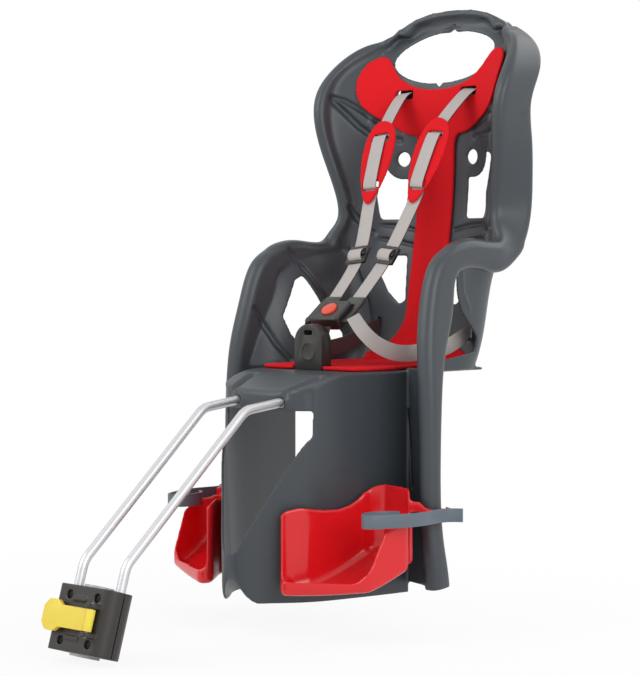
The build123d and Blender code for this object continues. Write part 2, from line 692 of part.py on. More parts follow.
# Plate and bolts that hold the rod under the seat.
with BuildPart() as rod_clamp_plate:
    with BuildSketch(bed):
        RectangleRounded(2 * boss_x + 16, 24, 4)
        with Locations((boss_x, 0), (-boss_x, 0)):
            Circle(bolt_r + fit, mode=Mode.SUBTRACT)
    extrude(amount=-plate_thick)
keep(rod_clamp_plate.part, "rod_clamp_plate")

with BuildPart() as rod_bolts:
    with BuildSketch(bed.offset(-plate_thick)):
        with Locations((boss_x, 0), (-boss_x, 0)):
            Circle(4.6)
    extrude(amount=-4)
    with BuildSketch(bed.offset(-plate_thick)):
        with Locations((boss_x, 0), (-boss_x, 0)):
            Circle(bolt_r)
    extrude(amount=plate_thick + 11)
keep(rod_bolts.part, "rod_bolts")

# Bracket on the bicycle's seat tube: two halves round the tube and the rod's legs.
tube = Plane(origin=(0, 0, 0), x_dir=(1, 0, 0), z_dir=(0, lean_y, lean_z))
bore_r = tube_r + liner + fit


def across_tube(depth):
    """Plane across the bracket, facing forward, at a depth in front of the tube's middle."""
    return Plane(origin=tube.from_local_coords((0, -depth, 0)), x_dir=(1, 0, 0), z_dir=-tube.y_dir)


for s, name in ((-1, "front"), (1, "rear")):
    with BuildPart() as bracket:
        with BuildSketch(tube.offset(-clamp_tall / 2)) as block:
            with Locations((0, s * (clamp_deep + clamp_gap) / 4)):
                Rectangle(clamp_wide, (clamp_deep - clamp_gap) / 2)
            outer_corners = block.vertices().filter_by(lambda corner: abs(corner.Y) > 10)
            fillet(outer_corners.filter_by(lambda corner: corner.X < 0), 7)
            fillet(block.vertices().filter_by(lambda corner: abs(corner.Y) > 21 and corner.X > 40), bulge)
            Circle(bore_r, mode=Mode.SUBTRACT)
            with Locations((rod_half, 0), (-rod_half, 0)):
                Circle(rod_r + fit, mode=Mode.SUBTRACT)
        extrude(amount=clamp_tall)
        for x in (bolt_x, -bolt_x):
            for z in (bolt_z, -bolt_z):
                with BuildSketch(across_tube(0)):
                    with Locations((x, z)):
                        Circle(bolt_r + fit)
                extrude(amount=60, both=True, mode=Mode.SUBTRACT)
                with BuildSketch(across_tube(-s * (clamp_deep / 2 - bolt_sink))):
                    with Locations((x, z)):
                        Circle(bolt_head + 0.8)
                extrude(amount=-s * 20, mode=Mode.SUBTRACT)
        if s < 0:
            # Raised bars above and below the lever.
            with BuildSketch(across_tube(clamp_deep / 2 - 1)):
                with Locations((-4, lever_half + 10), (-4, -lever_half - 10)):
                    RectangleRounded(24, 5, 2)
            extrude(amount=bar_rise + 1)
            # Ears for the lever's pin.
            for z in (ear_z, -ear_z):
                with BuildSketch(tube.offset(z - ear_thick / 2)):
                    with Locations((pin_x, -clamp_deep / 2 - 3)):
                        Rectangle(15, 12)
                    with Locations((pin_x, -pin_depth)):
                        Circle(7.5)
                        Circle(pin_r + slide_fit, mode=Mode.SUBTRACT)
                extrude(amount=ear_thick)
    keep(bracket.part, "bracket_" + name)

with BuildPart() as tube_liners:
    for s in (1, -1):
        with BuildSketch(tube.offset(-clamp_tall / 2 - 3)):
            Circle(tube_r + liner)
            Circle(tube_r, mode=Mode.SUBTRACT)
            with Locations((0, -s * (tube_r + 4 - clamp_gap / 2))):
                Rectangle(3 * tube_r, 2 * tube_r + 8, mode=Mode.SUBTRACT)
        extrude(amount=clamp_tall + 6)
keep(tube_liners.part, "tube_liners")

with BuildPart() as bracket_bolts:
    for x in (bolt_x, -bolt_x):
        for z in (bolt_z, -bolt_z):
            with BuildSketch(across_tube(clamp_deep / 2 - bolt_sink)):
                with Locations((x, z)):
                    Circle(bolt_head)
            extrude(amount=4)
            with BuildSketch(across_tube(clamp_deep / 2 - bolt_sink)):
                with Locations((x, z)):
                    Circle(bolt_r)
            extrude(amount=bolt_sink - clamp_deep + 2)
keep(bracket_bolts.part, "bracket_bolts")

with BuildPart() as bracket_nuts:
    for x in (bolt_x, -bolt_x):
        for z in (bolt_z, -bolt_z):
            with BuildSketch(across_tube(bolt_sink - clamp_deep / 2)):
                with Locations((x, z)):
                    RegularPolygon(bolt_head, 6)
                    Circle(bolt_r + slide_fit, mode=Mode.SUBTRACT)
            extrude(amount=-4)
keep(bracket_nuts.part, "bracket_nuts")

# Quick-release lever on the bracket's front.
with BuildPart() as release_lever:
    with BuildSketch(across_tube(pin_depth - lever_thick / 2)) as handle:
        with BuildLine():
            Polyline((pin_x, lever_half), (-22, lever_half), (-29, lever_head), (-44, lever_head), (-52, 10), (-52, -10),
                     (-44, -lever_head), (-29, -lever_head), (-22, -lever_half), (pin_x, -lever_half), close=True)
        make_face()
        fillet(handle.vertices().filter_by(lambda corner: corner.X < 0), 5)
    extrude(amount=lever_thick)
    with BuildSketch(tube.offset(-lever_half)):
        with Locations((pin_x, -pin_depth)):
            Circle(knuckle_r)
    extrude(amount=2 * lever_half)
    with BuildSketch(tube.offset(-lever_half)):
        with Locations((pin_x, -pin_depth)):
            Circle(pin_r + slide_fit)
    extrude(amount=2 * lever_half, mode=Mode.SUBTRACT)
keep(release_lever.part, "release_lever")

with BuildPart() as lever_pin:
    with BuildSketch(tube.offset(-ear_z - ear_thick / 2 - 0.5)):
        with Locations((pin_x, -pin_depth)):
            Circle(pin_r)
    extrude(amount=2 * ear_z + ear_thick + 1)
keep(lever_pin.part, "lever_pin")
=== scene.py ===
"""Looks of a child bike seat: moulded shell, padding, harness, footrests, carrier rod and seat-tube bracket.

Lengths are metres. The CAD frame's origin is the middle of the seat-tube clamp, +X is the child's left,
the seat faces -Y and +Z is up.
"""

import math

import bpy
import numpy
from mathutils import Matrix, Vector


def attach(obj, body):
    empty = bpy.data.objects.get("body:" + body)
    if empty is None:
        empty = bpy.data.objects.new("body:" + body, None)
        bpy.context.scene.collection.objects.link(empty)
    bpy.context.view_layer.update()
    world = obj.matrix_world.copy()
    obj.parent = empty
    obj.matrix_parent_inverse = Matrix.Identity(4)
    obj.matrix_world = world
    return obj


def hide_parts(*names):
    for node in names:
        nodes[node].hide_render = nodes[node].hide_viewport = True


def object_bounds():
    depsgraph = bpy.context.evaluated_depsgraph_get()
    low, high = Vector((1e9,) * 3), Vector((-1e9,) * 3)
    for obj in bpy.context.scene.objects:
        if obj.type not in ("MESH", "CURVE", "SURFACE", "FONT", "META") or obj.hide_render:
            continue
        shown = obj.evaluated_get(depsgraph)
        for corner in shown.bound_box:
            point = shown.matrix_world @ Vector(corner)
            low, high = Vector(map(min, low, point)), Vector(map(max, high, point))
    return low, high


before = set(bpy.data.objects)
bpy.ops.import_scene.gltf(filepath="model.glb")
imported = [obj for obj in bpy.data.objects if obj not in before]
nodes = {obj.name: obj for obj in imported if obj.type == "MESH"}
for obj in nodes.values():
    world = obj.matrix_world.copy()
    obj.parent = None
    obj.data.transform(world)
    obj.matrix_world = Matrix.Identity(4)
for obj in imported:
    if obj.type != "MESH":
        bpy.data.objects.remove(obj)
cad_box = [list(corner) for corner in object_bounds()]

bl_info = {
    "name": "Child bike seat",
    "version": (1, 0, 0),
    "blender": (4, 5, 0),
    "location": "View3D > Sidebar > Bike seat",
    "description": "Dresses the CAD frame of a child bike seat with moulded, woven and metal pieces",
    "category": "Object",
}

SIDES = (("left", 1), ("right", -1))

SIDEWAYS = Vector((1, 0, 0))

# Where the carrier rod enters the seat's front lip. Seat places are millimetres from there, on the left half.
ROD_ENTRY = Vector((0.0, 0.279, 0.245))

# Meshes that are closed over: voxel size, and half the width of the clefts that are filled.
PAD_GRAIN, PAD_BLEND = 0.0012, 0.0024
TRAY_GRAIN, TRAY_BLEND = 0.0014, 0.009

# Seat places where the shell's rim starts: outward on a wing, up a wing, up the top bar.
WING_EDGE, WING_FOOT, BAR_FOOT = (92, 108), (170, 200), (490, 498)
# Where the top bar meets a wing, and the distances over which the smoothing there fades out.
BAR_END, BAR_END_REACH = (87, 349, 497), (0.018, 0.04)
# Rearward places over which a footrest's basin ends, and those of the clip that is lowered behind its strap.
BASIN_REAR = (86, 100)
CLIP_DROP, CLIP_INNER, CLIP_FRONT = 0.0098, (172, 182), (98, 112)
# Rounding of the skirt's front foot: its start, length, height and level, and the skirt's half-width.
FOOT_START, FOOT_LONG, FOOT_HIGH, FOOT_LEVEL, SKIRT_HALF = -31, 26, 40, -250, 110
# Above the foot the rounding dies out over this share of its height and this much more.
FOOT_FADE, FOOT_FADE_LEAST = 2.2, 25
# The posts' feet: how far they are drawn up, over which depth, and from where outward.
POST_RISE, POST_DEPTH, POST_INNER = 21, (120, 255), (150, 162)
# Notch under the top bar: height, half-width, levels over which it fades, and the level it starts from.
NOTCH_HIGH, NOTCH_HALF, NOTCH_FADE, NOTCH_LEVEL = 8, 7, (492, 506), 478

# Creases pressed into the shell: route, way pressed, half-width and depth.
CREASES = (
    (((150, 297, 405), (137, 309, 400), (120, 321, 388), (99, 332, 371), (62, 343, 356)),
     (0.6, 0.8, 0), 6, 4.8),
    (((150, 296, 401), (135, 307, 383), (119, 320, 363), (99, 332, 347), (66, 343, 344)),
     (0.6, 0.8, 0), 7, 6.0),
    (((127, 308, 250), (121, 317, 236), (111, 322, 223), (100, 327, 215)), (0.6, 0.8, 0), 7, 4.5),
    (((143, 204, 191), (137, 227, 163), (125, 245, 136), (121, 264, 112)), (0.9, 0.4, 0), 6, 4.5),
    (((149, 140, 112), (149, 155, 93), (134, 165, 66), (119, 179, 42)), (0.8, 0.6, 0), 6, 4.5),
    (((92, 334, 226), (62, 339, 224), (36, 340, 219)), (0, 1, 0), 4, 3.6),
    (((92, 331, 207), (62, 336, 203), (36, 337, 198)), (0, 1, 0), 4, 3.6),
    (((107, 164, -14), (110, 163, -53), (113, 162, -91), (115, 161, -114)), (-0.5, 0.85, 0), 3.5, 7.5),
    (((46, 3, 11), (52, 20, 20), (58, 45, 28)), (0, 0.5, -0.87), 9, 6.0),
)

# Shoulder straps: the slot's two ends, the pad's two ends, the lock and the place at the buckle.
SHOULDER_SLOT = ((57, 362.5, 410), (57, 337.5, 403))
PAD_TOP, PAD_LOW = (50, 295, 368), (39, 246, 252)
STRAP_LOCK = (26, 213, 183)
BUCKLE_END = (21, 163.1, 127.8)
# Steps of a shoulder strap along its pad, up from the middle and out of it: behind, over the face, behind.
PAD_OFF = 0.00365
PAD_STEPS = ((0.059, -PAD_OFF), (0.039, -PAD_OFF), (0.033, PAD_OFF),
             (-0.033, PAD_OFF), (-0.039, -PAD_OFF), (-0.061, -PAD_OFF))
# Lap straps: places from the buckle's tongue round the hip to the slot, and the way the width lies there.
LAP_STEPS = (
    ((37.35, 132.4, 104.8), (0, 0.8, 0.6)),
    ((50, 140, 84), (0, 0.6, 0.8)),
    ((60, 157, 67), (0, 0.35, 1)),
    ((72, 180, 57), (0, 0, 1)),
    ((82, 208, 57), (0, -0.2, 1)),
    ((88, 255, 62), (0, -0.25, 1)),
    ((87, 292, 74), (0, -0.15, 1)),
    ((82, 314.8, 84), (0, 0, 1)),
    ((82, 334.8, 84), (0, 0, 1)),
)
CROTCH_STEPS = ((0, 112, 22), (0, 112, 50), (0, 113.5, 74), (0, 119.5, 91.2))

# A strap lock: half its width, half-sizes of its sides and bars, and the bars' steps along and out.
LOCK_HALF = 0.0142
LOCK_SIDE, LOCK_BAR = (0.002, 0.0125, 0.0026), (LOCK_HALF, 0.0022, 0.0022)
LOCK_BARS = ((-0.0115, 0.001), (0.0, 0.0035), (0.0115, 0.001))
# The strap lies straight this far to both sides of its lock, and its loop steps over the middle bar.
LOCK_REACH = 0.02
LOOP_STEPS = ((-0.012, -0.001), (-0.0085, 0.001), (-0.006, 0.0055), (0.0, 0.0075),
              (0.006, 0.0055), (0.0085, 0.001), (0.012, -0.001))

# Dark plate inside a shoulder slot, painted shade that hides the light showing past the strap; it leans with
# the back.
SLOT_MIDDLE, SLOT_HALVES, BACK_LEAN = (57, 356.2, 408.6), (0.0135, 0.0046, 0.0004), 0.18
SLOT_AXES = (SIDEWAYS, Vector((0, BACK_LEAN, 1)), Vector((0, 1, -BACK_LEAN)))

FLOOR_WIDE, FLOOR_GAP = 30.0, 0.001
# Lamps: name, place, size and power.
LAMPS = (
    ("key_light", (-1.6, -2.4, 2.4), 2.2, 46.0),
    ("fill_light", (2.8, -0.6, 1.6), 2.0, 38.0),
    ("back_light", (0.6, 2.6, 2.2), 2.0, 20.0),
)
LAMP_AIM = Vector((0.0, 0.35, 0.35))
CAMERA_PLACE = Vector((1.8835, -1.6302, 0.4226))
CAMERA_LOOK = Vector((-0.6815, 0.7309, -0.0366))
CAMERA_LENS = 120.1


class SeatSizes(bpy.types.PropertyGroup):
    """Sizes that the looks add to the CAD frame."""

    shell_grain: bpy.props.FloatProperty(
        name="Shell mesh size", description="Voxel size of the moulded shell's mesh",
        default=0.0014, unit="LENGTH")
    shell_faces: bpy.props.IntProperty(
        name="Shell faces", description="Triangles left on the shell", default=180000)
    rim_blend: bpy.props.FloatProperty(
        name="Rim blend", description="Radius that blends the rim into the shell's sheet",
        default=0.009, unit="LENGTH")
    edge_round: bpy.props.FloatProperty(
        name="Edge rounding", description="Rounding of small moulded pieces", default=0.0009, unit="LENGTH")
    foam_grain: bpy.props.FloatProperty(
        name="Foam mesh size", description="Voxel size of the foam pads' mesh", default=0.0018, unit="LENGTH")
    strap_wide: bpy.props.FloatProperty(
        name="Strap width", description="Width of the harness webbing", default=0.022, unit="LENGTH")
    strap_thick: bpy.props.FloatProperty(
        name="Strap thickness", description="Thickness of the harness webbing", default=0.0016, unit="LENGTH")


class SeatColours(bpy.types.PropertyGroup):
    """Colours of the finishes."""

    shell: bpy.props.FloatVectorProperty(
        name="Shell", description="Moulded shell", subtype="COLOR", default=(0.046, 0.055, 0.063))
    foam: bpy.props.FloatVectorProperty(
        name="Foam", description="Padding", subtype="COLOR", default=(0.76, 0.012, 0.018))
    webbing: bpy.props.FloatVectorProperty(
        name="Webbing", description="Harness straps", subtype="COLOR", default=(0.6, 0.55, 0.52))
    crotch: bpy.props.FloatVectorProperty(
        name="Crotch strap", description="Dark webbing between the legs", subtype="COLOR",
        default=(0.07, 0.035, 0.035))
    hardware: bpy.props.FloatVectorProperty(
        name="Hardware", description="Buckle, locks and guide", subtype="COLOR", default=(0.02, 0.018, 0.016))
    button: bpy.props.FloatVectorProperty(
        name="Button", description="Buckle's push button", subtype="COLOR", default=(0.8, 0.07, 0.03))
    tray: bpy.props.FloatVectorProperty(
        name="Footrests", description="Glossy footrests", subtype="COLOR", default=(0.74, 0.01, 0.015))
    rubber: bpy.props.FloatVectorProperty(
        name="Foot straps", description="Rubber foot straps", subtype="COLOR", default=(0.12, 0.15, 0.18))
    steel: bpy.props.FloatVectorProperty(
        name="Rod", description="Bright steel rod", subtype="COLOR", default=(0.62, 0.62, 0.64))
    # Painted shade: the bracket bolts are near black so the recessed holes they sit in read dark.
    bolt_hole_shade: bpy.props.FloatVectorProperty(
        name="Bracket bolts", description="Blackened bolts", subtype="COLOR", default=(0.02, 0.02, 0.02))
    bracket: bpy.props.FloatVectorProperty(
        name="Bracket", description="Seat-tube bracket", subtype="COLOR", default=(0.025, 0.02, 0.018))
    liner: bpy.props.FloatVectorProperty(
        name="Liners", description="Sleeve round the seat tube", subtype="COLOR", default=(0.5, 0.5, 0.51))
    lever: bpy.props.FloatVectorProperty(
        name="Lever", description="Quick-release lever", subtype="COLOR", default=(0.9, 0.74, 0.07))
    # Painted shade: the orange that the lever's yellow turns to where its surface turns away.
    lever_edge_shade: bpy.props.FloatVectorProperty(
        name="Lever edge", description="Lever where it turns away", subtype="COLOR",
        default=(0.8, 0.22, 0.01))


def seat_at(x, y, z):
    """A place given in millimetres from the rod's entry."""
    return ROD_ENTRY + Vector((x, y, z)) * 0.001


def on_side(s, place):
    """A seat place of the left half, on the left (s = 1) or mirrored to the right (s = -1)."""
    x, y, z = place
    return seat_at(s * x, y, z)


def pick(obj):
    """Leaves obj as the only selected and the active object."""
    bpy.ops.object.select_all(action="DESELECT")
    obj.select_set(True)
    bpy.context.view_layer.objects.active = obj


def copy_of(node, name):
    """A copy of a CAD node's mesh with its triangles joined up."""
    obj = bpy.data.objects.new(name, nodes[node].data.copy())
    bpy.context.scene.collection.objects.link(obj)
    obj.data.materials.clear()
    pick(obj)
    bpy.ops.mesh.customdata_custom_splitnormals_clear()
    bpy.ops.object.mode_set(mode="EDIT")
    bpy.ops.mesh.select_all(action="SELECT")
    bpy.ops.mesh.remove_doubles(threshold=0.00001)
    bpy.ops.object.mode_set(mode="OBJECT")
    return obj


def apply(obj, kind, **settings):
    """Adds a modifier with these settings and applies it."""
    pick(obj)
    modifier = obj.modifiers.new(kind.lower(), kind)
    for key, value in settings.items():
        setattr(modifier, key, value)
    bpy.ops.object.modifier_apply(modifier=modifier.name)


def round_edges(obj, width, segments=2):
    """Joins flat triangles into faces and rounds the sharp edges."""
    pick(obj)
    bpy.ops.object.mode_set(mode="EDIT")
    bpy.ops.mesh.select_all(action="SELECT")
    bpy.ops.mesh.dissolve_limited(angle_limit=math.radians(1.5))
    bpy.ops.object.mode_set(mode="OBJECT")
    apply(obj, "BEVEL", width=width, segments=segments, limit_method="ANGLE", angle_limit=math.radians(40))
    bpy.ops.object.shade_smooth_by_angle(angle=math.radians(40))


def soften(obj, voxel, rounds, faces=None):
    """Turns a mesh into a smooth skin, as a moulding or foam has."""
    apply(obj, "REMESH", mode="VOXEL", voxel_size=voxel)
    apply(obj, "SMOOTH", factor=0.5, iterations=rounds)
    if faces:
        thin_out(obj, faces)
    pick(obj)
    bpy.ops.object.shade_smooth()


def thin_out(obj, faces):
    """Brings the mesh down to about this many triangles."""
    triangles = 2 * len(obj.data.polygons)
    if triangles > faces:
        apply(obj, "DECIMATE", ratio=faces / triangles)


def stands_for(obj, node, finish=None, body="seat"):
    """Gives the piece its finish and puts it in the CAD node's place."""
    if finish:
        obj.data.materials.clear()
        obj.data.materials.append(finish)
    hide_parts(node)
    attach(obj, body)


def new_group(name, inputs, outputs):
    """An empty shader group with named sockets, and its ends."""
    group = bpy.data.node_groups.new(name, "ShaderNodeTree")
    for label, kind, value in inputs:
        socket = group.interface.new_socket(name=label, in_out="INPUT", socket_type=kind)
        socket.default_value = value
    for label, kind in outputs:
        group.interface.new_socket(name=label, in_out="OUTPUT", socket_type=kind)
    start = group.nodes.new("NodeGroupInput")
    end = group.nodes.new("NodeGroupOutput")
    return group, start, end


def grain_group():
    """Fine grain of a moulded surface: a height for bump and a slow change of gloss."""
    if "moulded_grain" in bpy.data.node_groups:
        return bpy.data.node_groups["moulded_grain"]
    group, start, end = new_group(
        "moulded_grain",
        [("Grain", "NodeSocketFloat", 900.0), ("Gloss", "NodeSocketFloat", 0.4),
         ("Spread", "NodeSocketFloat", 0.08)],
        [("Height", "NodeSocketFloat"), ("Roughness", "NodeSocketFloat")])
    place = group.nodes.new("ShaderNodeTexCoord")
    fine = group.nodes.new("ShaderNodeTexNoise")
    fine.inputs["Detail"].default_value = 2.0
    group.links.new(place.outputs["Object"], fine.inputs["Vector"])
    group.links.new(start.outputs["Grain"], fine.inputs["Scale"])
    slow = group.nodes.new("ShaderNodeTexNoise")
    slow.inputs["Scale"].default_value = 14.0
    group.links.new(place.outputs["Object"], slow.inputs["Vector"])
    spread = group.nodes.new("ShaderNodeMath")
    spread.operation = "MULTIPLY_ADD"
    group.links.new(slow.outputs["Fac"], spread.inputs[0])
    group.links.new(start.outputs["Spread"], spread.inputs[1])
    group.links.new(start.outputs["Gloss"], spread.inputs[2])
    group.links.new(fine.outputs["Fac"], end.inputs["Height"])
    group.links.new(spread.outputs["Value"], end.inputs["Roughness"])
    return group


def weave_group():
    """Crossing threads on the piece's own map: a height for bump and a light-and-dark mask."""
    if "woven_threads" in bpy.data.node_groups:
        return bpy.data.node_groups["woven_threads"]
    group, start, end = new_group(
        "woven_threads",
        [("Vector", "NodeSocketVector", (0.0, 0.0, 0.0)), ("Threads", "NodeSocketFloat", 1.0)],
        [("Height", "NodeSocketFloat"), ("Mask", "NodeSocketFloat")])
    waves = []
    for direction in ("X", "Y"):
        wave = group.nodes.new("ShaderNodeTexWave")
        wave.bands_direction = direction
        group.links.new(start.outputs["Vector"], wave.inputs["Vector"])
        group.links.new(start.outputs["Threads"], wave.inputs["Scale"])
        waves.append(wave)
    cross = group.nodes.new("ShaderNodeMath")
    cross.operation = "MULTIPLY"
    group.links.new(waves[0].outputs["Fac"], cross.inputs[0])
    group.links.new(waves[1].outputs["Fac"], cross.inputs[1])
    group.links.new(cross.outputs["Value"], end.inputs["Height"])
    group.links.new(cross.outputs["Value"], end.inputs["Mask"])
    return group


def finish_base(name, colour):
    """A new material of this colour, and its shader."""
    material = bpy.data.materials.new(name)
    material.use_nodes = True
    shader = material.node_tree.nodes["Principled BSDF"]
    shader.inputs["Base Color"].default_value = (*colour, 1.0)
    return material, shader


def moulded(name, colour, gloss, grain=900.0, depth=0.0003, spread=0.08):
    """Plastic or rubber with a fine moulded grain."""
    material, shader = finish_base(name, colour)
    tree = material.node_tree
    texture = tree.nodes.new("ShaderNodeGroup")
    texture.node_tree = grain_group()
    texture.inputs["Grain"].default_value = grain
    texture.inputs["Gloss"].default_value = gloss
    texture.inputs["Spread"].default_value = spread
    bump = tree.nodes.new("ShaderNodeBump")
    bump.inputs["Strength"].default_value = 0.25
    bump.inputs["Distance"].default_value = depth
    tree.links.new(texture.outputs["Height"], bump.inputs["Height"])
    tree.links.new(texture.outputs["Roughness"], shader.inputs["Roughness"])
    tree.links.new(bump.outputs["Normal"], shader.inputs["Normal"])
    return material


def woven(name, colour, threads):
    """Webbing with crossing threads."""
    material, shader = finish_base(name, colour)
    tree = material.node_tree
    place = tree.nodes.new("ShaderNodeTexCoord")
    texture = tree.nodes.new("ShaderNodeGroup")
    texture.node_tree = weave_group()
    texture.inputs["Threads"].default_value = threads
    tree.links.new(place.outputs["UV"], texture.inputs["Vector"])
    shade = tree.nodes.new("ShaderNodeMix")
    shade.data_type = "RGBA"
    shade.inputs["A"].default_value = (*[0.8 * part for part in colour], 1.0)
    shade.inputs["B"].default_value = (*colour, 1.0)
    tree.links.new(texture.outputs["Mask"], shade.inputs["Factor"])
    tree.links.new(shade.outputs["Result"], shader.inputs["Base Color"])
    bump = tree.nodes.new("ShaderNodeBump")
    bump.inputs["Strength"].default_value = 0.3
    bump.inputs["Distance"].default_value = 0.0003
    tree.links.new(texture.outputs["Height"], bump.inputs["Height"])
    tree.links.new(bump.outputs["Normal"], shader.inputs["Normal"])
    shader.inputs["Roughness"].default_value = 0.85
    shader.inputs["Sheen Weight"].default_value = 0.15
    return material


def metal(name, colour, gloss):
    """Bright steel."""
    material, shader = finish_base(name, colour)
    shader.inputs["Metallic"].default_value = 1.0
    shader.inputs["Roughness"].default_value = gloss
    return material


def paint_edge_shade(material, colour, painted_shade):
    """Paints shade on the edges: the colour turns to the darker orange shade colour where the surface turns
    away.
    """
    tree = material.node_tree
    facing = tree.nodes.new("ShaderNodeLayerWeight")
    facing.inputs["Blend"].default_value = 0.12
    blend = tree.nodes.new("ShaderNodeMix")
    blend.data_type = "RGBA"
    blend.inputs["A"].default_value = (*colour, 1.0)
    blend.inputs["B"].default_value = (*painted_shade, 1.0)
    tree.links.new(facing.outputs["Facing"], blend.inputs["Factor"])
    tree.links.new(blend.outputs["Result"], tree.nodes["Principled BSDF"].inputs["Base Color"])


def smooth_route(places, steps=8):
    """Places on a smooth curve through the given ones."""
    route = []
    for i in range(len(places) - 1):
        before = places[max(i - 1, 0)]
        a, b = places[i], places[i + 1]
        after = places[min(i + 2, len(places) - 1)]
        for k in range(steps):
            t = k / steps
            route.append(0.5 * ((2 * a) + (b - before) * t + (2 * before - 5 * a + 4 * b - after) * t * t
                                + (3 * a - before - 3 * b + after) * t * t * t))
    return route + [places[-1]]


def ribbon(name, places, lies, wide, thick, lining, face):
    """A strip of webbing along the places, its width lying along lies, with a map across and along it.

    Its face looks away from lies x route, and its other side and its edges have the darker lining.
    """
    route = smooth_route(places)
    across = smooth_route(lies)
    rows = len(route)
    bpy.ops.object.select_all(action="DESELECT")
    bpy.ops.mesh.primitive_grid_add(x_subdivisions=4, y_subdivisions=rows - 1, size=1.0, calc_uvs=True)
    strip = bpy.context.active_object
    strip.name = name
    mesh = strip.data
    for vertex in mesh.vertices:
        row = round((vertex.co.y + 0.5) * (rows - 1))
        heading = route[min(row + 1, rows - 1)] - route[max(row - 1, 0)]
        lie = across[row] - heading * (across[row].dot(heading) / heading.length_squared)
        vertex.co = route[row] + lie.normalized() * (vertex.co.x * wide)
    mesh.materials.append(lining)
    mesh.materials.append(face)
    length = sum((b - a).length for a, b in zip(route, route[1:]))
    for corner in mesh.uv_layers.active.data:
        corner.uv = (corner.uv[0] * wide * 1000, corner.uv[1] * length * 1000)
    apply(strip, "SOLIDIFY", thickness=thick, offset=0.0, material_offset=1, material_offset_rim=0)
    apply(strip, "BEVEL", width=0.3 * thick, segments=2, limit_method="ANGLE", angle_limit=math.radians(50))
    pick(strip)
    bpy.ops.object.shade_smooth_by_angle(angle=math.radians(50))
    return strip


def ramp(values, low, high):
    """A smooth step from 0 at low to 1 at high."""
    t = numpy.clip((values - low) / (high - low), 0.0, 1.0)
    return t * t * (3.0 - 2.0 * t)


def places_of(obj, normals=False):
    """The mesh's vertices as an array, with their normals if wanted."""
    rows = numpy.empty(len(obj.data.vertices) * 3)
    obj.data.vertices.foreach_get("co", rows)
    if not normals:
        return rows.reshape(-1, 3)
    ways = numpy.empty(len(obj.data.vertices) * 3)
    obj.data.vertices.foreach_get("normal", ways)
    return rows.reshape(-1, 3), ways.reshape(-1, 3)


def put_places(obj, rows):
    """Writes the vertices back."""
    obj.data.vertices.foreach_set("co", rows.ravel())
    obj.data.update()


def seat_places(rows):
    """The rows' distances from the middle plane, rearward places and heights, as seat_at counts them."""
    x = numpy.abs(rows[:, 0]) * 1000
    y = (rows[:, 1] - ROD_ENTRY.y) * 1000
    z = (rows[:, 2] - ROD_ENTRY.z) * 1000
    return x, y, z


def rim_share(rows):
    """1 on the wings, armrests and top bar, where the sheet runs into the rim, and 0 elsewhere."""
    x, _, z = seat_places(rows)
    wing = ramp(x, *WING_EDGE) * ramp(z, *WING_FOOT)
    return numpy.maximum(wing, ramp(z, *BAR_FOOT))


def all_over(rows):
    """1 everywhere."""
    return numpy.ones(len(rows))


def basin_share(rows):
    """1 in a footrest's basin, whose floor and walls meet in wide roundings, and 0 by its post."""
    _, y, _ = seat_places(rows)
    return 1.0 - ramp(y, *BASIN_REAR)


def lower_clip(rows):
    """Brings a footrest's clip behind its strap."""
    x, y, _ = seat_places(rows)
    rows[:, 2] -= CLIP_DROP * ramp(x, *CLIP_INNER) * ramp(y, *CLIP_FRONT)
    return rows


def close_gaps(obj, voxel, depth, share):
    """Fills clefts up to twice depth wide where share is 1, with a smooth skin over them."""
    apply(obj, "REMESH", mode="VOXEL", voxel_size=voxel)
    for way in (depth, -depth):
        rows, ways = places_of(obj, True)
        put_places(obj, rows + ways * (way * share(rows))[:, None])
        apply(obj, "REMESH", mode="VOXEL", voxel_size=voxel)


def blend_shoulders(obj):
    """Smooths the two places where the top bar runs into the wings."""
    rows = places_of(obj)
    joints = [numpy.array(on_side(s, BAR_END)) for _, s in SIDES]
    away = numpy.min([numpy.linalg.norm(rows - joint, axis=1) for joint in joints], axis=0)
    share = 1.0 - ramp(away, *BAR_END_REACH)
    group = obj.vertex_groups.new(name="shoulders")
    for index in numpy.flatnonzero(share > 0.0).tolist():
        group.add([index], float(share[index]), "REPLACE")
    apply(obj, "SMOOTH", factor=0.5, iterations=60, vertex_group="shoulders")
    obj.vertex_groups.clear()


def trim_feet(rows):
    """Rounds the skirt's front foot, draws the posts' feet up to their length and notches the top bar."""
    x, y, z = seat_places(rows)
    t = numpy.clip((FOOT_START - y) / FOOT_LONG, 0.0, 1.0)
    rise = FOOT_HIGH * (1 - numpy.sqrt(1 - t * t))
    reach = FOOT_FADE * rise + FOOT_FADE_LEAST
    lift = rise * numpy.clip(1 - (z - FOOT_LEVEL) / reach, 0.0, 1.0) * (x < SKIRT_HALF)
    lift += POST_RISE * ramp(-z, *POST_DEPTH) * ramp(x, *POST_INNER)
    lift += (NOTCH_HIGH * numpy.clip(1 - x / NOTCH_HALF, 0.0, 1.0) * (1.0 - ramp(z, *NOTCH_FADE))
             * (z > NOTCH_LEVEL))
    rows[:, 2] += 0.001 * lift
    return rows


def press_groove(rows, route, way, wide, depth):
    """Presses a groove along the route into the sheet, both faces together."""
    near = numpy.full(len(rows), 1.0)
    for a, b in zip(route, route[1:]):
        run = b - a
        t = numpy.clip((rows - a) @ run / (run @ run), 0.0, 1.0)
        near = numpy.minimum(near, numpy.linalg.norm(rows - a - t[:, None] * run, axis=1))
    share = 1.0 - ramp(near, 0.15 * wide, wide)
    return rows + share[:, None] * (way * depth)


